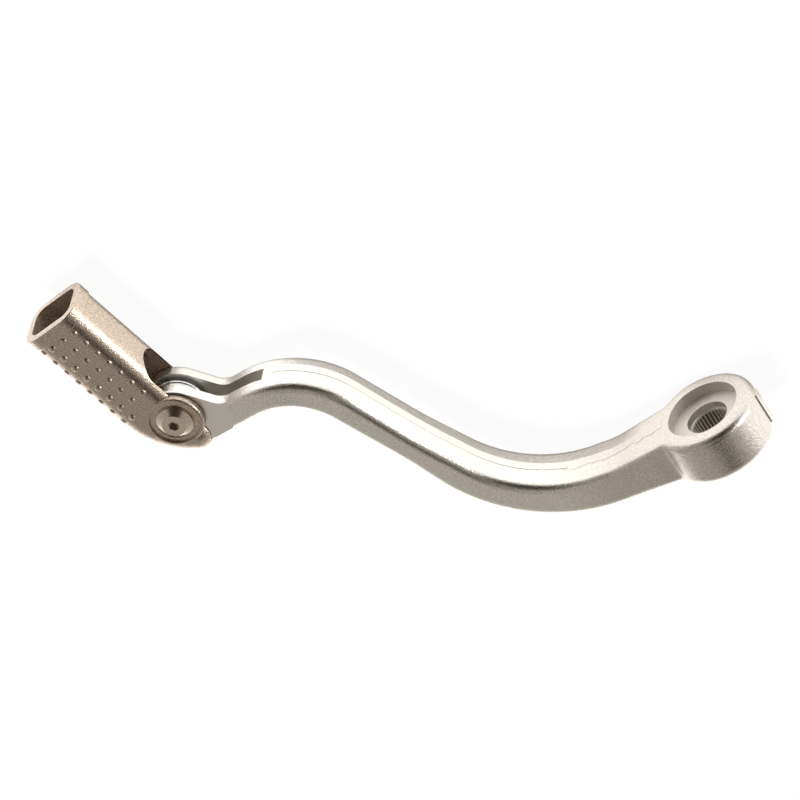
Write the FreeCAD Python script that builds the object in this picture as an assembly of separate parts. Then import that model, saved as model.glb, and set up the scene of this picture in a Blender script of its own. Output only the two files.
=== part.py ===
import FreeCAD, Part
import math
import os
from FreeCAD import Placement, Rotation, Vector

# Motorcycle gear shift lever with a folding toe peg. Millimetres, +Z up.
# The shift shaft's axis is Y through the origin, the arm bends in the XY plane,
# and the toe peg folds about a Z axis at the fork.

# Splined hub
hub_radius = 15.4
hub_front = 9.6
hub_back = -5.4
neck_blend_radius = 3.0
recess_floor = 6.3
recess_floor_radius = 10.45
recess_top_radius = 10.75
counterbore_radius = 6.2
counterbore_depth = 2.0
spline_teeth = 34
spline_major_radius = 5.95
spline_minor_radius = 5.5
flash_band_width = 3.0
flash_band_offset = -2.0
flash_band_height = 0.3

# Forged arm
arm_reach = 60.7
arm_rise = 68.4
diagonal_angle = 63.0
first_bend_radius = 41.0
second_bend_radius = 23.0
root_front = 5.3
bend_thickness = 12.0
waist_thickness = 7.4
crest_thickness = 8.9
waist_radius = 150.0
root_half_width = 9.7
fork_half_width = 7.3
taper_before_pivot = 34.2
taper_blend_radius = 80.0
shoulder_start = 9.0
shoulder_before_bend = 30.7
shoulder_radius = 24.0
arm_edge_radius = 2.3

# Fork
pivot_run = 73.5
pivot_lift = 4.8
fork_radius = 9.4
fork_thickness = 11.6
stop_run = 6.7
stop_drop = 1.7
stop_radius = 1.5
stop_slope = 8.0
kink_run = 14.3
kink_drop = 1.4
kink_radius = 5.0
crest_run = 25.8
crest_lift = 0.2
slot_width = 5.0
slot_run = 9.2
slot_floor_rise = 0.7
slot_cutter_radius = 25.0
face_mill_radius = 16.5

# Pivot bolt
shank_radius = 3.0
thread_radius = 2.5
head_radius = 5.35
head_flat_radius = 3.5
head_rim = 0.7
head_cone = 1.4
hex_across_flats = 3.0
hex_depth = 1.6
running_clearance = 0.04
thread_clearance = 0.02

# Toe peg, drawn about the pivot with its length along +Y and then turned
peg_lean = 13.4
peg_length = 46.0
tube_centre = 4.25
tube_half_width = 9.6
tube_wall = 1.9
peg_edge_radius = 5.3
hollow_edge_radius = 3.2
side_clearance = 0.3
ear_wall = 2.1
near_ear_radius = 8.5
far_ear_radius = 7.0
ear_edge_radius = 0.8
lobe_clearance = 0.35
under_wall = 2.35
under_slope = 38.0
heel_radius = 24.0
lip_run = 0.6
lip_slope = 31.6
lip_radius = 5.4
stop_clearance = 0.1
notch_end = 19.5
bead_length = 4.0
bead_height = 0.4
spot_face_radius = 7.4
spot_face_depth = 0.7

# Grip bumps
bump_pitch = 4.5
bump_row_pitch = 4.3
bump_first_row = 0.4
bump_first_place = 40.5
bump_counts = [7, 7, 8]
bump_radius = 1.1
bump_height = 0.6

# Return spring and its sleeve
wire_radius = 0.66
coil_radius = 7.6
coil_gap = 0.02
sleeve_radius = 6.6
sleeve_end_clearance = 0.15
moving_leg_lean = 25.0
leg_clearance = 0.1

# Values that follow from those above
up = Vector(0, 0, 1)
middle = Vector(0, 0, 0)
along_arm = Vector(-1, 0, 0)
pivot_reach = arm_reach + pivot_run
pivot = Vector(-pivot_reach, arm_rise + pivot_lift, 0)
taper_reach = pivot_reach - taper_before_pivot
shoulder_end = arm_reach - shoulder_before_bend
stop = pivot + Vector(stop_run, -fork_radius - stop_drop, 0)
kink = pivot + Vector(kink_run, -kink_drop, 0)
crest = pivot + Vector(crest_run, crest_lift, 0)
slot_cutter_rise = slot_cutter_radius + slot_floor_rise - fork_radius
slot_cutter_centre = pivot + Vector(slot_run, slot_cutter_rise, 0)
peg_inner_half = fork_thickness / 2 + side_clearance
ear_half_height = peg_inner_half + ear_wall
spot_face_floor = ear_half_height - spot_face_depth
web_inner_radius = fork_radius + lobe_clearance
tube_left = -tube_centre - tube_half_width
tube_right = -tube_centre + tube_half_width


def turned(vector, angle):
    """The vector turned about Z by an angle in degrees."""
    return Rotation(up, angle).multVec(vector)


def crossing(point_a, direction_a, point_b, direction_b):
    """The point where two lines in the XY plane cross."""
    cross = direction_a.x * direction_b.y - direction_a.y * direction_b.x
    offset = point_b - point_a
    along = (offset.x * direction_b.y - offset.y * direction_b.x) / cross
    return point_a + direction_a * along


def tangent_from(point, radius, side):
    """The direction from a point that just touches a circle about the origin."""
    swing = math.degrees(math.asin(radius / point.Length))
    return turned((point * -1).normalize(), side * swing)


def rounded_outline(corners):
    """A closed wire through (point, radius) corners, each rounded by its radius."""
    count = len(corners)
    edges = []
    starts = []
    ends = []
    middles = []
    for index, (point, radius) in enumerate(corners):
        before = (corners[index - 1][0] - point).normalize()
        after = (corners[(index + 1) % count][0] - point).normalize()
        half = before.getAngle(after) / 2
        reach = radius / math.tan(half)
        bisector = (before + after).normalize()
        starts.append(point + before * reach)
        ends.append(point + after * reach)
        middles.append(point + bisector * (radius / math.sin(half) - radius))
    for index, (point, radius) in enumerate(corners):
        if radius > 0:
            edges.append(Part.Arc(starts[index], middles[index], ends[index]).toShape())
        following = starts[(index + 1) % count]
        if (following - ends[index]).Length > 1e-6:
            edges.append(Part.LineSegment(ends[index], following).toShape())
    return Part.Wire(edges)


def slab(wire, low, high):
    """A flat outline drawn at Z = 0, made solid from one Z level to another."""
    face = Part.Face(wire)
    face.translate(up * low)
    return face.extrude(up * (high - low))


def drum(centre, radius, low, high):
    """A cylinder along Z."""
    return Part.makeCylinder(radius, high - low, Vector(centre.x, centre.y, low))


def turning_along_y(radius, low, high, far_radius=None):
    """A cylinder or cone about the shift shaft's axis."""
    base = Vector(0, low, 0)
    if far_radius is None:
        return Part.makeCylinder(radius, high - low, base, Vector(0, 1, 0))
    return Part.makeCone(radius, far_radius, high - low, base, Vector(0, 1, 0))


def chin_direction():
    """The direction of the fork's stop face, from its lowest corner back to the lobe."""
    return tangent_from(stop - pivot, fork_radius, 1)


def arm_side_outline():
    """The S-shaped side of the hub, arm and fork, seen along Z."""
    diagonal = turned(along_arm, -diagonal_angle)
    outward = turned(diagonal, -90)
    first_corner = along_arm * arm_reach
    second_corner = first_corner + diagonal * (arm_rise / diagonal.y)
    waist = (first_corner + second_corner) * 0.5
    bend_half = bend_thickness / 2
    waist_half = waist_thickness / 2
    crest_half = crest_thickness / 2
    front_waist = waist + outward * waist_half
    back_waist = waist - outward * waist_half
    front_root = Vector(-shoulder_end, root_front, 0)
    back_root = Vector(-shoulder_start, hub_back, 0)
    front_run = first_corner + Vector(0, bend_half, 0) - front_root
    back_run = first_corner - Vector(0, bend_half, 0) - back_root
    front_low = front_waist - (first_corner + outward * bend_half)
    back_low = back_waist - (first_corner - outward * bend_half)
    front_high = second_corner + outward * crest_half - front_waist
    back_high = second_corner - outward * crest_half - back_waist
    underside = turned(along_arm, stop_slope)
    front_first = crossing(front_root, front_run, front_waist, front_low)
    front_second = crossing(front_waist, front_high, kink, crest - kink)
    back_first = crossing(back_root, back_run, back_waist, back_low)
    back_second = crossing(back_waist, back_high, stop, underside)
    tip = pivot.x - fork_radius
    top = pivot.y + fork_radius
    chin = crossing(stop, chin_direction(), Vector(tip, 0, 0), Vector(0, 1, 0))
    flank = tangent_from(kink - pivot, fork_radius, -1)
    shoulder = crossing(kink, flank, Vector(0, top, 0), along_arm)
    corners = [
        (Vector(hub_radius + 1, hub_back, 0), 0),
        (Vector(hub_radius + 1, hub_front, 0), 0),
        (Vector(-shoulder_start, hub_front, 0), shoulder_radius),
        (front_root, shoulder_radius),
        (front_first, first_bend_radius - bend_half),
        (front_waist, waist_radius),
        (front_second, second_bend_radius + crest_half),
        (kink, kink_radius),
        (shoulder, fork_radius),
        (Vector(tip, top, 0), fork_radius),
        (chin, fork_radius),
        (stop, stop_radius),
        (back_second, second_bend_radius - crest_half),
        (back_waist, waist_radius),
        (back_first, first_bend_radius + bend_half),
        (back_root, shoulder_radius),
    ]
    return rounded_outline(corners)


def arm_plan_outline():
    """The hub's round and the tapering arm, seen along Y, drawn in XY as (x, z)."""
    far = pivot.x - fork_radius - 1
    arm = Part.Face(rounded_outline([
        (Vector(far, -fork_half_width, 0), 0),
        (Vector(-taper_reach, -fork_half_width, 0), taper_blend_radius),
        (Vector(0, -root_half_width, 0), 0),
        (Vector(0, root_half_width, 0), 0),
        (Vector(-taper_reach, fork_half_width, 0), taper_blend_radius),
        (Vector(far, fork_half_width, 0), 0),
    ]))
    hub = Part.Face(Part.Wire(Part.makeCircle(hub_radius)))
    return arm.fuse(hub).removeSplitter()


def forged_blank():
    """The hub and arm as forged: side and plan outlines crossed, edges rounded."""
    side = slab(arm_side_outline(), -hub_radius - 1, hub_radius + 1)
    plan = arm_plan_outline()
    plan.rotate(middle, Vector(1, 0, 0), 90)
    plan.translate(Vector(0, pivot.y * 2, 0))
    plan = plan.extrude(Vector(0, -pivot.y * 4, 0))
    necks = []
    for edge in plan.Edges:
        where_arm_meets_hub = -hub_radius < edge.CenterOfMass.x < -hub_radius / 3
        if where_arm_meets_hub and is_upright(edge, Vector(0, 1, 0)):
            necks.append(edge)
    plan = plan.makeFillet(neck_blend_radius, necks)
    blank = side.common(plan).removeSplitter()
    kept = []
    for edge in blank.Edges:
        across = is_upright(edge, up)
        down_the_hub = is_upright(edge, Vector(0, 1, 0)) and edge.CenterOfMass.x > -shoulder_end
        if not across and not down_the_hub:
            kept.append(edge)
    return blank.makeFillet(arm_edge_radius, kept)


def is_upright(edge, direction):
    """Whether an edge is a straight line along a direction."""
    if edge.Curve.TypeId != "Part::GeomLine" or len(edge.Vertexes) < 2:
        return False
    run = edge.Vertexes[1].Point - edge.Vertexes[0].Point
    return abs(run.normalize().dot(direction)) > 0.9999


def spline_cutter():
    """The serrated bore: a star of straight flanks through the whole hub."""
    points = []
    for tooth in range(spline_teeth):
        for half, radius in enumerate([spline_minor_radius, spline_major_radius]):
            angle = 2 * math.pi * (tooth + half / 2) / spline_teeth
            points.append(Vector(radius * math.cos(angle), hub_back - 1, radius * math.sin(angle)))
    points.append(points[0])
    star = Part.Face(Part.makePolygon(points))
    return star.extrude(Vector(0, hub_front - hub_back + 2, 0))


def flash_band():
    """The low band on the hub's round end where the forging's flash was trimmed off."""
    thick = flash_band_height + arm_edge_radius
    long = hub_front - hub_back - 2 * arm_edge_radius
    low = flash_band_offset - flash_band_width / 2
    corner = Vector(hub_radius - arm_edge_radius, hub_back + arm_edge_radius, low)
    return Part.makeBox(thick, long, flash_band_width, corner)


def make_lever_arm():
    """Forged arm with its machined hub, fork slot, milled ears and bored pivot."""
    arm = forged_blank()
    arm = arm.fuse(flash_band())
    floor = recess_floor - counterbore_depth
    lead = counterbore_radius - spline_minor_radius
    cutters = [
        turning_along_y(recess_floor_radius, recess_floor, hub_front, recess_top_radius),
        turning_along_y(counterbore_radius, floor, hub_front),
        turning_along_y(spline_minor_radius, floor - lead, floor, counterbore_radius),
        spline_cutter(),
    ]
    reach = fork_radius * 8
    slot_front = Part.makeBox(
        reach, reach, slot_width,
        Vector(slot_cutter_centre.x - reach, pivot.y - reach / 2, -slot_width / 2))
    slot_round = drum(slot_cutter_centre, slot_cutter_radius, -slot_width / 2, slot_width / 2)
    cutters += [slot_front, slot_round]
    half = fork_thickness / 2
    cutters.append(drum(pivot, face_mill_radius, half, hub_radius))
    cutters.append(drum(pivot, face_mill_radius, -hub_radius, -half))
    cutters.append(drum(pivot, shank_radius + running_clearance, -hub_radius, hub_radius))
    return arm.cut(Part.makeCompound(cutters)).removeSplitter()


def under_line(depth):
    """A point and direction on the peg's sloping underside at a depth from the pivot."""
    direction = turned(Vector(1, 0, 0), -under_slope)
    return turned(direction, -90) * depth, direction


def peg_outside():
    """The peg's outline seen along Z: tube, round heel and stop lip."""
    start, run = under_line(web_inner_radius + under_wall)
    heel = crossing(start, run, Vector(tube_left, 0, 0), Vector(0, 1, 0))
    lip_low = crossing(start, run, Vector(-lip_run, 0, 0), Vector(0, 1, 0))
    lip_face = turned(Vector(1, 0, 0), lip_slope)
    lip_high = crossing(lip_low, lip_face, Vector(tube_right, 0, 0), Vector(0, 1, 0))
    return [
        (Vector(tube_right, peg_length, 0), 0),
        (Vector(tube_left, peg_length, 0), 0),
        (heel, heel_radius),
        (lip_low, lip_radius),
        (lip_high, lip_radius),
    ]


def peg_inside():
    """The outline of the peg's hollow, which ends in the room for the fork."""
    corner_radius = hollow_edge_radius + 0.1
    left = tube_left + tube_wall
    right = tube_right - tube_wall
    start, run = under_line(web_inner_radius)
    heel = crossing(start, run, Vector(left, 0, 0), Vector(0, 1, 0))
    return [
        (Vector(right, peg_length, 0), 0),
        (Vector(left, peg_length, 0), 0),
        (heel, heel_radius / 2),
        (start, corner_radius),
        (Vector(right, start.y, 0), corner_radius),
    ]


def peg_block(outline, half_height, edge_radius):
    """The peg's outline made solid, its long edges rounded and its mouth left sharp."""
    block = slab(rounded_outline(outline), -half_height, half_height)
    kept = []
    for edge in block.Edges:
        at_mouth = edge.BoundBox.YMin > peg_length - 1e-3
        if not at_mouth and not is_upright(edge, up):
            kept.append(edge)
    return block.makeFillet(edge_radius, kept)


def bead_ring():
    """The slightly proud band round the peg's mouth."""
    half_width = tube_half_width + bead_height
    half_height = ear_half_height + bead_height
    radius = peg_edge_radius + bead_height
    section = rounded_outline([
        (Vector(-tube_centre - half_width, -half_height, 0), radius),
        (Vector(-tube_centre + half_width, -half_height, 0), radius),
        (Vector(-tube_centre + half_width, half_height, 0), radius),
        (Vector(-tube_centre - half_width, half_height, 0), radius),
    ])
    band = slab(section, 0, bead_length)
    edges = [edge for edge in band.Edges if not is_upright(edge, up)]
    band = band.makeFillet(bead_height * 0.9, edges)
    band.rotate(middle, Vector(1, 0, 0), -90)
    band.translate(Vector(0, peg_length - bead_length, 0))
    return band


def ear_disc(radius, low, high):
    """A round ear about the pivot with softened rims."""
    disc = drum(middle, radius, low, high)
    rims = [edge for edge in disc.Edges if not is_upright(edge, up)]
    return disc.makeFillet(ear_edge_radius, rims)


def grip_bumps():
    """Rows of low domes on both flat sides of the tube."""
    bumps = []
    ball_radius = (bump_radius ** 2 + bump_height ** 2) / (2 * bump_height)
    level = ear_half_height + bump_height - ball_radius
    for row, count in enumerate(bump_counts):
        across = bump_first_row - row * bump_row_pitch
        for place in range(count):
            along = bump_first_place - place * bump_pitch
            bumps.append(Part.makeSphere(ball_radius, Vector(across, along, level)))
            bumps.append(Part.makeSphere(ball_radius, Vector(across, along, -level)))
    return bumps


def fork_room():
    """The room for the fork: a round about the pivot, open to the arm's side, and a stop floor."""
    reach = 3 * fork_radius
    depth = 2 * peg_inner_half
    channel = drum(middle, web_inner_radius, -peg_inner_half, peg_inner_half)
    notch_middle = notch_end - peg_inner_half
    notch = Part.makeBox(reach, notch_middle, depth, Vector(0, 0, -peg_inner_half))
    notch_round = Part.makeCylinder(peg_inner_half, reach, Vector(0, notch_middle, 0), Vector(1, 0, 0))
    floor_level = -fork_radius - stop_clearance
    below = Part.makeBox(reach, reach, depth, Vector(0, floor_level, -peg_inner_half))
    chin = chin_direction() * -1
    slope = math.degrees(math.atan2(chin.y, chin.x))
    below.rotate(middle, up, slope - peg_lean)
    return [channel, notch, notch_round, below]


def make_toe_peg():
    """Hollow cast toe peg: tube, ears, heel, stop lip and grip bumps."""
    body = peg_block(peg_outside(), ear_half_height, peg_edge_radius)
    near_ear = ear_disc(near_ear_radius, 0, ear_half_height)
    far_ear = ear_disc(far_ear_radius, -ear_half_height, 0)
    body = body.fuse([bead_ring(), near_ear, far_ear])
    body = body.fuse(grip_bumps())
    beyond = 2 * ear_half_height
    cutters = fork_room()
    cutters += [
        peg_block(peg_inside(), peg_inner_half, hollow_edge_radius),
        drum(middle, spot_face_radius, spot_face_floor, beyond),
        drum(middle, shank_radius + running_clearance, 0, beyond),
        drum(middle, thread_radius + thread_clearance, -beyond, 0),
    ]
    return body.cut(Part.makeCompound(cutters)).removeSplitter()


def make_pivot_bolt():
    """Shouldered hinge bolt: coned head with a hex socket, shank and thread."""
    shoulder = -peg_inner_half
    head = spot_face_floor
    body = drum(middle, shank_radius, shoulder, head)
    body = body.fuse([
        drum(middle, thread_radius, -ear_half_height, shoulder),
        drum(middle, head_radius, head, head + head_rim),
        Part.makeCone(head_radius, head_flat_radius, head_cone, Vector(0, 0, head + head_rim)),
    ])
    corner = hex_across_flats / math.sqrt(3)
    points = [turned(Vector(corner, 0, 0), 60 * side) for side in range(7)]
    top = head + head_rim + head_cone
    socket = slab(Part.makePolygon(points), top - hex_depth, top + 1)
    return body.cut(socket).removeSplitter()


def make_spring_sleeve():
    """Plain sleeve that carries the spring coil on the bolt."""
    half = slot_width / 2 - sleeve_end_clearance
    bore = drum(middle, shank_radius + running_clearance, -half, half)
    return drum(middle, sleeve_radius, -half, half).cut(bore)


def make_return_spring():
    """Torsion spring: one wire with a leg along the fork slot, a coil and a leg to the peg's wall."""
    turns = 2 + (90 - peg_lean - moving_leg_lean) / 360
    pitch = 2 * wire_radius + coil_gap
    height = pitch * turns
    helix = Part.makeHelix(pitch, height, coil_radius, 0, True)
    helix.translate(up * (-height / 2))
    helix.rotate(middle, up, -90)
    edges = Part.Wire(helix.Edges).OrderedEdges
    start = edges[0].valueAt(edges[0].FirstParameter)
    start_run = edges[0].tangentAt(edges[0].FirstParameter)
    finish = edges[-1].valueAt(edges[-1].LastParameter)
    finish_run = edges[-1].tangentAt(edges[-1].LastParameter)
    floor_depth = slot_cutter_rise + coil_radius + wire_radius + leg_clearance
    fixed_leg = slot_run + math.sqrt(slot_cutter_radius ** 2 - floor_depth ** 2)
    lean = math.radians(moving_leg_lean)
    room = -tube_left - tube_wall - leg_clearance - (coil_radius + wire_radius) * math.cos(lean)
    moving_leg = room / math.sin(lean)
    tip = start - start_run * fixed_leg
    arm_leg = Part.LineSegment(tip, start).toShape()
    peg_leg = Part.LineSegment(finish, finish + finish_run * moving_leg).toShape()
    section = Part.Wire(Part.makeCircle(wire_radius, tip, start_run))
    path = Part.Wire([arm_leg] + edges + [peg_leg])
    return path.makePipeShell([section], True, True)


def on_pivot(shape, lean=0.0):
    """A shape drawn about the origin, turned by an angle and moved to the fork pivot."""
    shape.Placement = Placement(pivot, Rotation(up, lean)).multiply(shape.Placement)
    return shape


if __name__ == "__main__":
    os.makedirs("parts", exist_ok=True)
    pieces = {
        "lever_arm": make_lever_arm(),
        "toe_peg": on_pivot(make_toe_peg(), peg_lean),
        "pivot_bolt": on_pivot(make_pivot_bolt(), peg_lean),
        "spring_sleeve": on_pivot(make_spring_sleeve()),
        "return_spring": on_pivot(make_return_spring()),
    }
    for name, shape in pieces.items():
        shape.exportStep("parts/" + name + ".step")
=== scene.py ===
"""Looks of the motorcycle gear shift lever: finishes, grip bumps, studio and camera."""

import logging
import math
from dataclasses import dataclass
from enum import Enum
from functools import partial
from typing import Any, Optional, Union

import bmesh
import bpy
from mathutils import Matrix, Vector


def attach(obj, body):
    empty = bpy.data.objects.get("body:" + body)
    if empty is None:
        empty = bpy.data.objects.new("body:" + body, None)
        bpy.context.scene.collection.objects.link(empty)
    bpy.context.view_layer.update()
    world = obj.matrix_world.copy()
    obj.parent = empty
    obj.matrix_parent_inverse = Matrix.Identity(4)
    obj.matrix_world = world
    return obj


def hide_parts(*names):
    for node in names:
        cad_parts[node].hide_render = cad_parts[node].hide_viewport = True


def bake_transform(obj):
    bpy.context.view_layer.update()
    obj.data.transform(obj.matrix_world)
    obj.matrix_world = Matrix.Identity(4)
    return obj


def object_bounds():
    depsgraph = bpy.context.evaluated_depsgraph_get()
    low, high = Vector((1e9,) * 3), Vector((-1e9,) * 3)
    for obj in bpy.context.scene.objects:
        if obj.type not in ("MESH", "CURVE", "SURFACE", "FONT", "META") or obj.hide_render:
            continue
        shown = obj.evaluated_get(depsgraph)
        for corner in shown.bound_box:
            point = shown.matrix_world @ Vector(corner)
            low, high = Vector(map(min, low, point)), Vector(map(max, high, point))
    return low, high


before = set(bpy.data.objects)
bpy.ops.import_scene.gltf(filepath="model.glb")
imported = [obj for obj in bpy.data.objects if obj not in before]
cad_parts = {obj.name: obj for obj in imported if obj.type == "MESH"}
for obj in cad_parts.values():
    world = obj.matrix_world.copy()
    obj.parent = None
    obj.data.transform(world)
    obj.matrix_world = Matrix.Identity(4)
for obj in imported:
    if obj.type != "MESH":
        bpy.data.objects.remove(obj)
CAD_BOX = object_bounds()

logging.basicConfig(level=logging.INFO, format="%(message)s")
log = logging.getLogger("lever")

MM = 0.001

Point = tuple[float, float, float]
Socket = bpy.types.NodeSocket

# The hinge's axis runs along Z through this point, in millimetres.
PIVOT: Point = (-134.2, 73.2, 0.0)

# How the noise of a grain is read: its detail, how many dark spots lie on a pit's width, and the
# part of its range that goes from light to dark.
NOISE_DETAIL = 2.0
SPOTS_PER_GRAIN = 0.8
LIGHT_BELOW = 0.35
DARK_ABOVE = 0.65


class Side(Enum):
    """The two sides of the peg: the bolt head's and the thread's."""

    NEAR = 1
    FAR = -1


@dataclass(frozen=True)
class Finish:
    """A real metal finish.

    The light and dark colours and the smooth and rough values are the two ends of the
    finish's slight unevenness. The grain's size and relief are in millimetres.
    """

    name: str
    light: str
    dark: str
    smooth: float
    rough: float
    grain: float
    relief: float


# Shot-blasted and anodised: a soft silver that breaks up into fine sparkle. Real grit leaves
# pits of 0.1 to 0.2 mm, drawn two to four times as coarse so that they show.
FORGED = Finish("shot-blasted anodised aluminium", "#f1ede7", "#b9b1a7", 0.22, 0.38, 0.42, 0.10)

# Cast, blasted and plated: a darker warm metal with the same sparkle, also drawn coarse.
CAST = Finish("blasted bronze-grey casting", "#cfbfb0", "#b3a393", 0.24, 0.32, 0.44, 0.11)

# Turned from bar and plated: smoother, with rings left by the tool.
TURNED = Finish("turned bronze-grey steel", "#e0d0c0", "#d2c2b2", 0.18, 0.22, 0.35, 0.0016)

# Drawn wire in bright zinc: nearly a mirror, a little uneven along its length.
WIRE = Finish("bright zinc spring wire", "#e4e6e8", "#d8dadc", 0.16, 0.22, 0.60, 0.010)

# Turned tube in zinc: duller than the wire, with rings.
SLEEVE = Finish("turned zinc sleeve", "#cfd1d3", "#c3c5c7", 0.24, 0.30, 0.35, 0.002)


# Painted shade and grime (oil and dust) in the bottom of the spline's grooves, darker than the shallow
# teeth can cast.
GROOVE_SHADE_AND_GRIME = "#2a2622"


def linear(colour: str) -> tuple[float, float, float, float]:
    """Turns an sRGB hex colour into linear RGBA.

    Args:
        colour: the colour as "#rrggbb".

    Returns:
        Four linear values.
    """
    parts = [int(colour[place:place + 2], 16) / 255 for place in (1, 3, 5)]
    red, green, blue = [
        part / 12.92 if part <= 0.04045 else ((part + 0.055) / 1.055) ** 2.4 for part in parts
    ]
    return red, green, blue, 1.0


def add_node(
    tree: bpy.types.NodeTree,
    kind: str,
    inputs: Optional[dict[Union[int, str], Any]] = None,
    output: Union[int, str] = 0,
    **settings: Any,
) -> Optional[Socket]:
    """Adds a node with its settings, values and links.

    Args:
        tree: the tree that gets the node.
        kind: the node's type name.
        inputs: a value, or a socket to link, for each input's name or number.
        output: the name or number of the output to hand back.
        settings: the node's own properties.

    Returns:
        The chosen output socket, or None for a node without outputs.
    """
    node = tree.nodes.new(kind)
    for name, value in settings.items():
        setattr(node, name, value)
    for key, value in (inputs or {}).items():
        if isinstance(value, Socket):
            tree.links.new(value, node.inputs[key])
        else:
            node.inputs[key].default_value = value
    return node.outputs[output] if len(node.outputs) else None


class MetalSurface:
    """A procedural metal on a piece's own coordinates, which are real metres."""

    def __init__(self, finish: Finish) -> None:
        """Starts the material of a finish.

        Args:
            finish: the finish to draw.
        """
        self.finish = finish
        self.material = bpy.data.materials.new(finish.name)
        self.material.use_nodes = True
        tree = self.material.node_tree
        tree.nodes.clear()
        self.add = partial(add_node, tree)
        self.place = self.add("ShaderNodeTexCoord", output="Object")
        self.x, self.y, self.z = self.add("ShaderNodeSeparateXYZ", {0: self.place}).node.outputs
        self.level = self.add("ShaderNodeMath", {0: self.z}, operation="ABSOLUTE")

    def radius(self, centre: Point, across: Point) -> Socket:
        """Measures the distance from an axis.

        Args:
            centre: a point on the axis, in millimetres.
            across: 1 for each direction that counts, 0 for the axis's own.

        Returns:
            The distance, in metres.
        """
        shift = [-part * MM * counts for part, counts in zip(centre, across)]
        flat = self.add("ShaderNodeMapping", {"Vector": self.place, "Location": shift, "Scale": across})
        return self.add("ShaderNodeVectorMath", {0: flat}, "Value", operation="LENGTH")

    def grain(self) -> Socket:
        """Draws the blasted pits.

        Returns:
            The height, in metres.
        """
        size = self.finish.grain * MM
        pits = {"Vector": self.place, "Scale": 1 / size, "Detail": NOISE_DETAIL}
        noise = self.add("ShaderNodeTexNoise", pits)
        return self.add("ShaderNodeMath", {0: noise, 1: self.finish.relief * MM}, operation="MULTIPLY")

    def rings(self, distance: Socket) -> Socket:
        """Draws the tool's rings round an axis.

        Args:
            distance: the distance from the axis, in metres.

        Returns:
            The height, in metres.
        """
        per_metre = math.tau / (self.finish.grain * MM)
        turns = self.add("ShaderNodeMath", {0: distance, 1: per_metre}, operation="MULTIPLY")
        wave = self.add("ShaderNodeMath", {0: turns}, operation="SINE")
        return self.add("ShaderNodeMath", {0: wave, 1: self.finish.relief * MM}, operation="MULTIPLY")

    def speckle(self) -> Socket:
        """Draws the uneven tone of the grain.

        Returns:
            A value from 0, light and smooth, to 1, dark and rough.
        """
        density = SPOTS_PER_GRAIN / (self.finish.grain * MM)
        spots = {"Vector": self.place, "Scale": density, "Detail": NOISE_DETAIL}
        noise = self.add("ShaderNodeTexNoise", spots)
        ends = {"Value": noise, "From Min": LIGHT_BELOW, "From Max": DARK_ABOVE}
        return self.add("ShaderNodeMapRange", ends)

    def weighted(self, *parts: tuple[Socket, float]) -> Socket:
        """Adds up masks, each times its own amount.

        Args:
            parts: the masks and their amounts.

        Returns:
            The sum.
        """
        total: Union[Socket, float] = 0.0
        for mask, amount in parts:
            total = self.add("ShaderNodeMath", {0: mask, 1: amount, 2: total}, operation="MULTIPLY_ADD")
        return total

    def finished(
        self,
        height: Socket,
        tone: Socket,
        duller: Optional[Socket] = None,
        shade: Optional[Socket] = None,
    ) -> bpy.types.Material:
        """Closes the material with its metal shader.

        Args:
            height: the relief, in metres.
            tone: 0 for the finish's light and smooth end, 1 for its dark and rough end.
            duller: what is added to the roughness, if anything.
            shade: the share of painted shade and grime over the metal, if any.

        Returns:
            The material.
        """
        finish = self.finish
        colours = {0: tone, 6: linear(finish.light), 7: linear(finish.dark)}
        colour = self.add("ShaderNodeMix", colours, 2, data_type="RGBA")
        if shade:
            # Painted shade and grime darken the colour where shade is given.
            dimmed = {0: shade, 6: colour, 7: linear(GROOVE_SHADE_AND_GRIME)}
            colour = self.add("ShaderNodeMix", dimmed, 2, data_type="RGBA")
        ends = {"Value": tone, "To Min": finish.smooth, "To Max": finish.rough}
        roughness = self.add("ShaderNodeMapRange", ends)
        if duller:
            roughness = self.add("ShaderNodeMath", {0: roughness, 1: duller}, operation="ADD")
        normal = self.add("ShaderNodeBump", {"Strength": 1.0, "Distance": 1.0, "Height": height})
        metal = self.add("ShaderNodeBsdfPrincipled", {
            "Base Color": colour, "Metallic": 1.0, "Roughness": roughness, "Normal": normal})
        self.add("ShaderNodeOutputMaterial", {"Surface": metal})
        log.info("finish: %s", finish.name)
        return self.material


def paint(node: str, material: bpy.types.Material) -> None:
    """Gives a CAD node its material.

    Args:
        node: the node's name.
        material: the material.
    """
    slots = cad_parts[node].data.materials
    slots.clear()
    slots.append(material)
    log.info("piece: %s", node)


def mesh_from_tree(
    tree: bpy.types.NodeTree,
    values: dict[str, Union[int, float]],
    start: bpy.types.Mesh,
) -> bpy.types.Mesh:
    """Runs a Geometry Nodes tree and keeps what it makes as a plain mesh.

    Args:
        tree: the tree.
        values: the values of its named inputs.
        start: the mesh that goes in.

    Returns:
        The new mesh.
    """
    holder = bpy.data.objects.new("holder", start)
    bpy.context.collection.objects.link(holder)
    modifier = holder.modifiers.new("tree", "NODES")
    modifier.node_group = tree
    names = {item.name: item.identifier for item in tree.interface.items_tree if item.in_out == "INPUT"}
    for name, value in values.items():
        modifier[names[name]] = value
    graph = bpy.context.evaluated_depsgraph_get()
    mesh = bpy.data.meshes.new_from_object(holder.evaluated_get(graph))
    bpy.data.objects.remove(holder)
    return mesh


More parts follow.
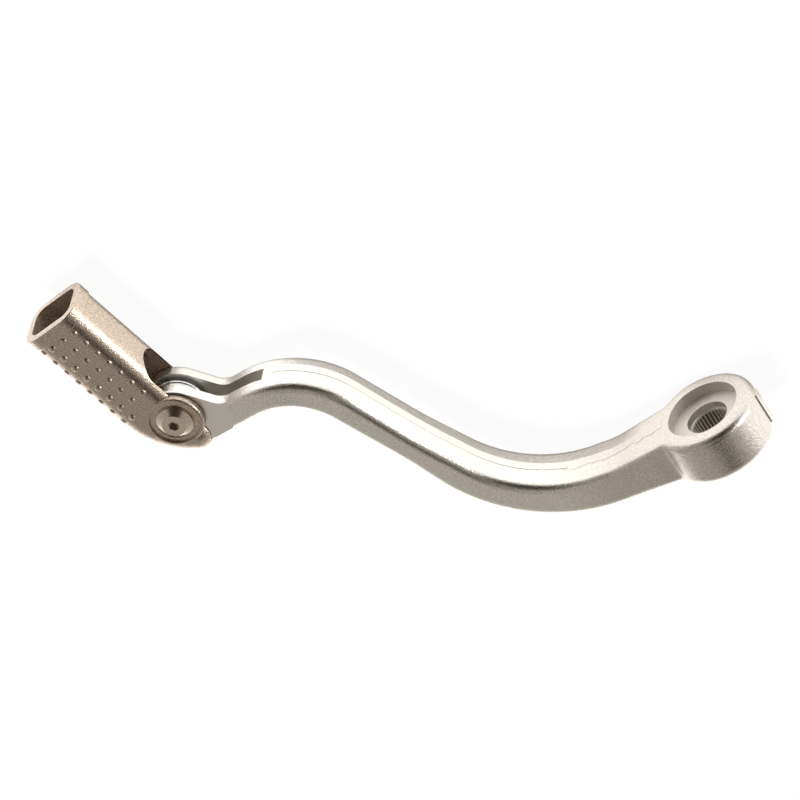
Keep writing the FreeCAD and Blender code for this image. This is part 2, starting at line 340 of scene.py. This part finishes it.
@dataclass
class LeverArm:
    """The forged arm: blasted, with machined hub and fork faces.

    Sizes and places are in millimetres and the draft in degrees. A tone goes from light to dark,
    and a dullness is added to the roughness. The root and the hub are painted darker, partly for a
    coarser blast and partly as painted shade for the darker room they reflect, and are a little
    smoother than the rest of the arm.
    """

    recess_radius: float = 10.8
    mill_radius: float = 16.5
    ear_level: float = 5.8
    slot_level: float = 2.5
    fork_start: float = -100.0
    face_reach: float = 0.06
    land_half: float = 2.9
    draft: float = 13.0
    fade_run: float = 16.0
    forged_from: float = -110.0
    forged_to: float = -16.0
    root_from: float = -52.0
    root_to: float = -24.0
    # Painted shade on the root and hub, over a coarser blast.
    root_finish_and_shade: float = 0.48
    root_dull: float = -0.08
    spot_tone: float = 0.3
    milled_dull: float = 0.14
    recess_dull: float = 0.36
    slot_centre: Point = (-125.0, 89.5, 0.0)
    slot_radius: float = 25.0
    slot_dull: float = 0.45
    tooth_tip: float = 5.55
    tooth_root: float = 5.9
    tooth_end: float = 3.5
    bore_radius: float = 5.98
    tooth_shade: float = 0.85

    def recess(self, surface: MetalSurface) -> Socket:
        """Finds the hub's turned recess and its bore.

        Args:
            surface: the arm's material.

        Returns:
            The mask.
        """
        from_shaft = surface.radius((0, 0, 0), (1, 0, 1))
        within = {0: from_shaft, 1: self.recess_radius * MM}
        return surface.add("ShaderNodeMath", within, operation="LESS_THAN")

    def fork_faces(self, surface: MetalSurface) -> Socket:
        """Finds the milled sides of the fork's ears and slot.

        Args:
            surface: the arm's material.

        Returns:
            The mask.
        """
        add = surface.add
        reach = self.face_reach * MM
        from_pivot = surface.radius(PIVOT, (1, 1, 0))
        milled = add("ShaderNodeMath", {0: from_pivot, 1: self.mill_radius * MM}, operation="LESS_THAN")
        forked = add("ShaderNodeMath", {0: surface.x, 1: self.fork_start * MM}, operation="LESS_THAN")
        on_ear = {0: surface.level, 1: self.ear_level * MM, 2: reach}
        on_wall = {0: surface.level, 1: self.slot_level * MM, 2: reach}
        ear = add("ShaderNodeMath", on_ear, operation="COMPARE")
        wall = add("ShaderNodeMath", on_wall, operation="COMPARE")
        ears = add("ShaderNodeMath", {0: ear, 1: milled}, operation="MULTIPLY")
        return add("ShaderNodeMath", {0: wall, 1: forked, 2: ears}, operation="MULTIPLY_ADD")

    def slot_floor(self, surface: MetalSurface) -> Socket:
        """Finds the round floor that the cutter left in the fork's slot.

        Args:
            surface: the arm's material.

        Returns:
            The mask.
        """
        reach = self.face_reach * MM
        swing = surface.radius(self.slot_centre, (1, 1, 0))
        on_round = {0: swing, 1: self.slot_radius * MM, 2: reach}
        floor = surface.add("ShaderNodeMath", on_round, operation="COMPARE")
        between = {0: surface.level, 1: self.slot_level * MM + reach}
        walls = surface.add("ShaderNodeMath", between, operation="LESS_THAN")
        return surface.add("ShaderNodeMath", {0: floor, 1: walls}, operation="MULTIPLY")

    def grooves(self, surface: MetalSurface) -> Socket:
        """Finds the bottoms of the spline's grooves, which get painted shade and grime.

        Args:
            surface: the arm's material.

        Returns:
            The share of painted shade and grime.
        """
        add = surface.add
        from_shaft = surface.radius((0, 0, 0), (1, 0, 1))
        # Painted shade and grime grow darker towards the bottom of each groove.
        depth = {
            "Value": from_shaft,
            "From Min": self.tooth_tip * MM,
            "From Max": self.tooth_root * MM,
            "To Max": self.tooth_shade,
        }
        shade = add("ShaderNodeMapRange", depth)
        bore = add("ShaderNodeMath", {0: from_shaft, 1: self.bore_radius * MM}, operation="LESS_THAN")
        teeth = add("ShaderNodeMath", {0: surface.y, 1: self.tooth_end * MM}, operation="LESS_THAN")
        inside = add("ShaderNodeMath", {0: bore, 1: teeth}, operation="MULTIPLY")
        return add("ShaderNodeMath", {0: shade, 1: inside}, operation="MULTIPLY")

    def forged(self, surface: MetalSurface) -> Socket:
        """Finds the plain stretch of the arm between the fork and the hub.

        Args:
            surface: the arm's material.

        Returns:
            The mask.
        """
        start = {
            "Value": surface.x,
            "From Min": self.forged_from * MM,
            "From Max": (self.forged_from + self.fade_run) * MM,
        }
        end = {
            "Value": surface.x,
            "From Min": self.forged_to * MM,
            "From Max": (self.forged_to - self.fade_run) * MM,
        }
        after = surface.add("ShaderNodeMapRange", start, interpolation_type="SMOOTHSTEP")
        before = surface.add("ShaderNodeMapRange", end, interpolation_type="SMOOTHSTEP")
        return surface.add("ShaderNodeMath", {0: after, 1: before}, operation="MULTIPLY")

    def die_draft(self, surface: MetalSurface) -> Socket:
        """Draws the slight slope that the dies left on both sides of the arm's front.

        Args:
            surface: the arm's material.

        Returns:
            The height, in metres.
        """
        add = surface.add
        off = add("ShaderNodeMath", {0: surface.level, 1: self.land_half * MM}, operation="SUBTRACT")
        out = add("ShaderNodeMath", {0: off, 1: 0.0}, operation="MAXIMUM")
        slope = -math.tan(math.radians(self.draft))
        fall = add("ShaderNodeMath", {0: out, 1: slope}, operation="MULTIPLY")
        return add("ShaderNodeMath", {0: fall, 1: self.forged(surface)}, operation="MULTIPLY")

    def dress(self) -> bpy.types.Material:
        """Paints the arm.

        Returns:
            The arm's material.
        """
        surface = MetalSurface(FORGED)
        add = surface.add
        recess = self.recess(surface)
        fork = self.fork_faces(surface)
        slot = self.slot_floor(surface)
        ramp = {"Value": surface.x, "From Min": self.root_from * MM, "From Max": self.root_to * MM}
        root = add("ShaderNodeMapRange", ramp, interpolation_type="SMOOTHSTEP")
        blasted = 1.0
        for cut in (recess, fork, slot):
            blasted = add("ShaderNodeMath", {0: blasted, 1: cut}, operation="SUBTRACT", use_clamp=True)
        marks = {0: surface.grain(), 1: blasted, 2: self.die_draft(surface)}
        height = add("ShaderNodeMath", marks, operation="MULTIPLY_ADD")
        spots = add("ShaderNodeMath", {0: surface.speckle(), 1: blasted}, operation="MULTIPLY")
        # The root and hub's darker tone is partly a coarser blast and partly painted shade.
        tone = surface.weighted((spots, self.spot_tone), (root, self.root_finish_and_shade))
        duller = surface.weighted(
            (recess, self.recess_dull),
            (fork, self.milled_dull),
            (slot, self.slot_dull),
            (root, self.root_dull),
        )
        material = surface.finished(height, tone, duller, self.grooves(surface))
        paint("lever_arm", material)
        return material


@dataclass
class ForgingMarks:
    """The dies' parting line along the arm's front, and the ridge that trimming left by the hub.

    Sizes are in millimetres. The ridge sways about the noise's usual low value, sway_middle.
    """

    line_from: float = -104.0
    line_to: float = -44.0
    line_radius: float = 0.11
    ridge_from: float = -47.0
    ridge_to: float = -13.0
    ridge_radius: float = 0.36
    ridge_sink: float = 0.26
    ridge_sway: float = 5.0
    sway_run: float = 4.5
    sway_middle: float = 0.38
    sway_detail: float = 3.0
    step: float = 0.4
    weld: float = 0.001
    sides: int = 10
    front: Point = (0.45, 0.89, 0.0)

    def front_section(self, start: float, end: float) -> bpy.types.Mesh:
        """Cuts the arm in its middle plane and keeps a stretch of the front's outline.

        Args:
            start: where the stretch starts in X, in millimetres.
            end: where it ends.

        Returns:
            A mesh of edges only.
        """
        cut = bmesh.new()
        cut.from_mesh(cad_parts["lever_arm"].data)
        whole = cut.verts[:] + cut.edges[:] + cut.faces[:]
        section = bmesh.ops.bisect_plane(cut, geom=whole, plane_co=(0, 0, 0), plane_no=(0, 0, 1))
        lines = []
        for item in section["geom_cut"]:
            if not isinstance(item, bmesh.types.BMEdge):
                continue
            ends = [vertex.co.copy() for vertex in item.verts]
            faces_front = item.link_faces[0].normal.dot(Vector(self.front)) > 0
            within = all(start * MM < point.x < end * MM for point in ends)
            if faces_front and within:
                lines.append(ends)
        cut.free()
        points = [point for ends in lines for point in ends]
        pairs = [(2 * place, 2 * place + 1) for place in range(len(lines))]
        mesh = bpy.data.meshes.new("front section")
        mesh.from_pydata(points, pairs, [])
        return mesh

    def bead_tree(self, material: bpy.types.Material) -> bpy.types.NodeTree:
        """Builds the tree that sweeps a fine round bead along a line of edges.

        Args:
            material: the bead's material.

        Returns:
            The tree, with its sizes as named inputs.
        """
        tree = bpy.data.node_groups.new("bead", "GeometryNodeTree")
        tree.interface.new_socket("Geometry", in_out="INPUT", socket_type="NodeSocketGeometry")
        for name in ("Radius", "Sink", "Sway"):
            tree.interface.new_socket(name, in_out="INPUT", socket_type="NodeSocketFloat")
        tree.interface.new_socket("Geometry", in_out="OUTPUT", socket_type="NodeSocketGeometry")
        add = partial(add_node, tree)
        given = add("NodeGroupInput").node.outputs
        loose = {"Geometry": given["Geometry"], "Distance": self.weld * MM}
        joined = add("GeometryNodeMergeByDistance", loose)
        curve = add("GeometryNodeMeshToCurve", {"Mesh": joined})
        even = add("GeometryNodeResampleCurve", {"Curve": curve, "Length": self.step * MM}, mode="LENGTH")
        place = add("GeometryNodeInputPosition")
        along = add("ShaderNodeCombineXYZ", {"X": add("ShaderNodeSeparateXYZ", {0: place}, "X")})
        waver = {"Vector": along, "Scale": 1 / (self.sway_run * MM), "Detail": self.sway_detail}
        wander = add("ShaderNodeTexNoise", waver)
        centred = add("ShaderNodeMath", {0: wander, 1: self.sway_middle}, operation="SUBTRACT")
        aside = add("ShaderNodeMath", {0: centred, 1: given["Sway"]}, operation="MULTIPLY")
        inward = add("ShaderNodeMath", {0: given["Sink"], 1: -1.0}, operation="MULTIPLY")
        offset = add("ShaderNodeCombineXYZ", {"Y": inward, "Z": aside})
        path = add("GeometryNodeSetPosition", {"Geometry": even, "Offset": offset})
        circle = {"Resolution": self.sides, "Radius": given["Radius"]}
        section = add("GeometryNodeCurvePrimitiveCircle", circle)
        swept = {"Curve": path, "Profile Curve": section, "Fill Caps": True}
        bead = add("GeometryNodeCurveToMesh", swept)
        smooth = add("GeometryNodeSetShadeSmooth", {"Geometry": bead})
        painted = add("GeometryNodeSetMaterial", {"Geometry": smooth, "Material": material})
        add("NodeGroupOutput", {"Geometry": painted})
        return tree

    def bead(
        self,
        name: str,
        line: bpy.types.Mesh,
        tree: bpy.types.NodeTree,
        sizes: dict[str, float],
    ) -> None:
        """Makes one bead as a plain mesh that rides on the arm.

        Args:
            name: the piece's name.
            line: the edges to follow.
            tree: the tree that sweeps the bead.
            sizes: the tree's named sizes, in millimetres.
        """
        mesh = mesh_from_tree(tree, {size: value * MM for size, value in sizes.items()}, line)
        piece = bpy.data.objects.new(name, mesh)
        bpy.context.collection.objects.link(piece)
        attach(piece, "arm")
        log.info("piece: %s", name)

    def dress(self, material: bpy.types.Material) -> None:
        """Adds both marks to the arm.

        Args:
            material: the arm's material.
        """
        tree = self.bead_tree(material)
        line = self.front_section(self.line_from, self.line_to)
        self.bead("parting_line", line, tree, {"Radius": self.line_radius})
        ridge = self.front_section(self.ridge_from, self.ridge_to)
        low_cap = {"Radius": self.ridge_radius, "Sink": self.ridge_sink, "Sway": self.ridge_sway}
        self.bead("trimmed_flash", ridge, tree, low_cap)


@dataclass
class ToePeg:
    """The cast peg, with a row of grip bumps on each left rounding of its tube.

    Sizes are in millimetres, measured from the pivot along and across the peg, and the lean in
    degrees. The hollow is as cast, so cast_dull is added to its roughness.
    """

    lean: float = 13.4
    tube_left: float = -13.85
    edge_radius: float = 5.3
    half_height: float = 8.2
    arc_from_flat: float = 3.95
    first_place: float = 40.5
    pitch: float = 4.5
    count: int = 8
    bump_radius: float = 1.0
    bump_height: float = 0.42
    ball_segments: int = 20
    ball_rings: int = 14
    tube_centre: float = -4.25
    hollow_half: float = 8.0
    hollow_level: float = 6.4
    hollow_from: float = 10.0
    hollow_to: float = 45.9
    cast_dull: float = 0.34

    def inside(self, surface: MetalSurface) -> Socket:
        """Finds the hollow's walls, which stay as cast.

        Args:
            surface: the peg's material.

        Returns:
            The mask.
        """
        add = surface.add
        turn = (0.0, 0.0, math.radians(self.lean))
        own = {"Vector": surface.place, "Location": Vector(PIVOT) * MM, "Rotation": turn}
        place = add("ShaderNodeMapping", own, vector_type="TEXTURE")
        across, along, level = add("ShaderNodeSeparateXYZ", {0: place}).node.outputs
        middle = {0: across, 1: self.tube_centre * MM, 2: self.hollow_half * MM}
        flat = {0: level, 1: 0.0, 2: self.hollow_level * MM}
        run = {
            0: along,
            1: (self.hollow_from + self.hollow_to) / 2 * MM,
            2: (self.hollow_to - self.hollow_from) / 2 * MM,
        }
        masks = [add("ShaderNodeMath", limits, operation="COMPARE") for limits in (middle, flat, run)]
        walls = add("ShaderNodeMath", {0: masks[0], 1: masks[1]}, operation="MULTIPLY")
        return add("ShaderNodeMath", {0: walls, 1: masks[2]}, operation="MULTIPLY")

    def row_tree(self, side: Side, material: bpy.types.Material) -> bpy.types.NodeTree:
        """Builds the tree that lays flattened domes along a rounding.

        Args:
            side: the side of the peg.
            material: the domes' material.

        Returns:
            The tree, with its sizes as named inputs.
        """
        tree = bpy.data.node_groups.new("grip row", "GeometryNodeTree")
        tree.interface.new_socket("Count", in_out="INPUT", socket_type="NodeSocketInt")
        for name in ("Pitch", "Radius", "Flatness"):
            tree.interface.new_socket(name, in_out="INPUT", socket_type="NodeSocketFloat")
        tree.interface.new_socket("Geometry", in_out="OUTPUT", socket_type="NodeSocketGeometry")
        add = partial(add_node, tree)
        sizes = add("NodeGroupInput").node.outputs
        swing = self.arc_from_flat / self.edge_radius
        across = self.tube_left + self.edge_radius * (1 - math.sin(swing))
        level = self.half_height - self.edge_radius * (1 - math.cos(swing))
        start = Vector((across, self.first_place, side.value * level)) * MM
        back = add("ShaderNodeMath", {0: sizes["Pitch"], 1: -1.0}, operation="MULTIPLY")
        offset = add("ShaderNodeCombineXYZ", {"Y": back})
        line = add("GeometryNodeMeshLine", {
            "Count": sizes["Count"], "Start Location": start, "Offset": offset})
        ball = add("GeometryNodeMeshUVSphere", {
            "Segments": self.ball_segments, "Rings": self.ball_rings, "Radius": sizes["Radius"]})
        dome = add("GeometryNodeSetShadeSmooth", {"Geometry": ball})
        shape = add("ShaderNodeCombineXYZ", {"X": 1.0, "Y": 1.0, "Z": sizes["Flatness"]})
        row = add("GeometryNodeInstanceOnPoints", {
            "Points": line, "Instance": dome, "Scale": shape, "Rotation": (0.0, -side.value * swing, 0.0)})
        whole = add("GeometryNodeRealizeInstances", {"Geometry": row})
        painted = add("GeometryNodeSetMaterial", {"Geometry": whole, "Material": material})
        add("NodeGroupOutput", {"Geometry": painted})
        return tree

    def bump_row(self, side: Side, material: bpy.types.Material) -> bpy.types.Object:
        """Makes one row of bumps as a plain mesh in the shared frame.

        Args:
            side: the side of the peg.
            material: the bumps' material.

        Returns:
            The new object.
        """
        tree = self.row_tree(side, material)
        sizes = {
            "Count": self.count,
            "Pitch": self.pitch * MM,
            "Radius": self.bump_radius * MM,
            "Flatness": self.bump_height / self.bump_radius,
        }
        mesh = mesh_from_tree(tree, sizes, bpy.data.meshes.new("empty"))
        turn = Matrix.Rotation(math.radians(self.lean), 4, "Z")
        mesh.transform(Matrix.Translation(Vector(PIVOT) * MM) @ turn)
        name = "grip_bumps_" + side.name.lower()
        row = bpy.data.objects.new(name, mesh)
        bpy.context.collection.objects.link(row)
        log.info("piece: %s", name)
        return row

    def dress(self) -> None:
        """Paints the peg and adds its two edge rows of bumps."""
        surface = MetalSurface(CAST)
        rougher = {0: self.inside(surface), 1: self.cast_dull}
        duller = surface.add("ShaderNodeMath", rougher, operation="MULTIPLY")
        material = surface.finished(surface.grain(), surface.speckle(), duller)
        paint("toe_peg", material)
        for side in Side:
            row = self.bump_row(side, material)
            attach(row, "peg")


@dataclass
class Hinge:
    """The pivot bolt, the sleeve that carries the coil, and the return spring.

    twist_half, in millimetres, is not used.
    """

    twist_half: float = 0.77

    def turned(self, finish: Finish) -> bpy.types.Material:
        """Draws a finish turned about the pivot.

        Args:
            finish: the finish.

        Returns:
            The material.
        """
        surface = MetalSurface(finish)
        rings = surface.rings(surface.radius(PIVOT, (1, 1, 0)))
        return surface.finished(rings, surface.speckle())

    def winding_spring(self, material: bpy.types.Material) -> None:
        """Adds a copy of the spring with its material, and hides the CAD spring.

        Args:
            material: the spring's material.
        """
        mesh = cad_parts["return_spring"].data.copy()
        mesh.materials.clear()
        mesh.materials.append(material)
        spring = bpy.data.objects.new("winding_spring", mesh)
        bpy.context.collection.objects.link(spring)
        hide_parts("return_spring")
        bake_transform(spring)
        log.info("piece: winding_spring")

    def dress(self) -> None:
        """Paints the bolt and the sleeve and adds the spring."""
        paint("pivot_bolt", self.turned(TURNED))
        paint("spring_sleeve", self.turned(SLEEVE))
        wire = MetalSurface(WIRE)
        self.winding_spring(wire.finished(wire.grain(), wire.speckle()))


@dataclass(frozen=True)
class Lamp:
    """A square soft light: its way from the lever, its reach and size in metres, and its watts."""

    name: str
    way: Point
    reach: float
    size: float
    power: float


@dataclass(frozen=True)
class DarkPatch:
    """A dark part of the room: its way from the lever, and the cosines where it starts and is full."""

    way: Point
    start: float
    full: float


SIDE_LIGHT = Lamp("side light", (0.975, -0.137, 0.174), 0.9, 0.4, 3.2)
OVERHEAD_LIGHT = Lamp("overhead light", (-0.28, -0.12, 0.95), 1.2, 0.4, 22.0)
DARK_WALL = DarkPatch((0.35, 0.69, 0.64), 0.72, 0.92)
DARK_GAP = DarkPatch((0.25, -0.30, 0.92), 0.90, 0.97)


@dataclass
class Studio:
    """A white table under soft light, and the photograph's camera.

    The target and the view's width are in millimetres. The other lengths are in metres, but for
    the sensor, which has its usual 36 mm.
    """

    target: Point = (-72.7, 52.1, 6.0)
    right: Point = (0.865, -0.494, -0.105)
    above: Point = (0.325, 0.704, -0.632)
    view_width: float = 224.0
    distance: float = 1.1
    sensor: float = 36.0
    table_size: float = 6.0
    table_colour: str = "#f6f5f3"
    white: str = "#ffffff"
    seen_share: float = 0.94
    mirrored_share: float = 0.2
    wall_colour: str = "#d8d5d0"
    ceiling_colour: str = "#b2aea7"
    dark_colour: str = "#38332e"
    wall_top: float = 0.05
    ceiling_edge: float = 0.55

    def table(self) -> None:
        """Lays the table, white to the camera and in the metal, with the lever's shadow on it."""
        bpy.ops.mesh.primitive_plane_add(size=self.table_size, location=(0, 0, CAD_BOX[0][2]))
        table = bpy.context.object
        table.name = "table"
        material = bpy.data.materials.new("white table")
        material.use_nodes = True
        material.node_tree.nodes.clear()
        add = partial(add_node, material.node_tree)
        rays = add("ShaderNodeLightPath").node.outputs
        seen = add("ShaderNodeMath", {0: rays["Is Camera Ray"], 1: self.seen_share}, operation="MULTIPLY")
        mirrored = {0: rays["Is Glossy Ray"], 1: self.mirrored_share, 2: seen}
        share = add("ShaderNodeMath", mirrored, operation="MULTIPLY_ADD")
        lit = add("ShaderNodeBsdfDiffuse", {"Color": linear(self.table_colour)})
        white = add("ShaderNodeEmission", {"Color": linear(self.white), "Strength": 1.0})
        both = add("ShaderNodeMixShader", {0: share, 1: lit, 2: white})
        add("ShaderNodeOutputMaterial", {"Surface": both})
        table.data.materials.append(material)

    def room(self) -> None:
        """Sets the room: pale walls, a greyer ceiling, and two dark patches."""
        world = bpy.data.worlds.new("room")
        bpy.context.scene.world = world
        world.use_nodes = True
        world.node_tree.nodes.clear()
        add = partial(add_node, world.node_tree)
        way = add("ShaderNodeTexCoord", output="Generated")
        height = add("ShaderNodeSeparateXYZ", {0: way}, "Z")
        rise = {"Value": height, "From Min": self.wall_top, "From Max": self.ceiling_edge}
        upward = add("ShaderNodeMapRange", rise, interpolation_type="SMOOTHSTEP")
        pale = {0: upward, 6: linear(self.wall_colour), 7: linear(self.ceiling_colour)}
        colour = add("ShaderNodeMix", pale, 2, data_type="RGBA")
        for patch in (DARK_WALL, DARK_GAP):
            middle = Vector(patch.way).normalized()
            facing = add("ShaderNodeVectorMath", {0: way, 1: middle}, "Value", operation="DOT_PRODUCT")
            edge = {"Value": facing, "From Min": patch.start, "From Max": patch.full}
            shade = add("ShaderNodeMapRange", edge, interpolation_type="SMOOTHSTEP")
            darker = {0: shade, 6: colour, 7: linear(self.dark_colour)}
            colour = add("ShaderNodeMix", darker, 2, data_type="RGBA")
        light = add("ShaderNodeBackground", {"Color": colour, "Strength": 1.0})
        add("ShaderNodeOutputWorld", {"Surface": light})

    def softbox(self, lamp: Lamp) -> bpy.types.Object:
        """Hangs a square soft light that faces the lever.

        Args:
            lamp: the light to hang.

        Returns:
            The light's object.
        """
        data = bpy.data.lights.new(lamp.name, "AREA")
        data.size = lamp.size
        data.energy = lamp.power
        light = bpy.data.objects.new(lamp.name, data)
        outward = Vector(lamp.way).normalized()
        light.location = Vector(self.target) * MM + outward * lamp.reach
        light.rotation_euler = outward.to_track_quat("Z", "Y").to_euler()
        bpy.context.collection.objects.link(light)
        return light

    def camera(self) -> None:
        """Points the camera as the photograph's was."""
        right = Vector(self.right).normalized()
        back = right.cross(Vector(self.above)).normalized()
        above = back.cross(right)
        data = bpy.data.cameras.new("camera")
        data.sensor_width = self.sensor
        data.lens = self.sensor * self.distance / (self.view_width * MM)
        camera = bpy.data.objects.new("camera", data)
        place = Vector(self.target) * MM + back * self.distance
        turn = Matrix((right, above, back)).transposed().to_4x4()
        camera.matrix_world = Matrix.Translation(place) @ turn
        bpy.context.collection.objects.link(camera)
        bpy.context.scene.camera = camera

    def set_up(self) -> None:
        """Builds the studio."""
        self.camera()
        self.table()
        self.room()
        self.softbox(SIDE_LIGHT)
        self.softbox(OVERHEAD_LIGHT).visible_glossy = False
        bpy.context.scene.view_settings.view_transform = "Standard"


def main() -> None:
    """Builds the studio and dresses the lever."""
    Studio().set_up()
    forged = LeverArm().dress()
    ForgingMarks().dress(forged)
    ToePeg().dress()
    Hinge().dress()


if __name__ == "__main__":
    main()
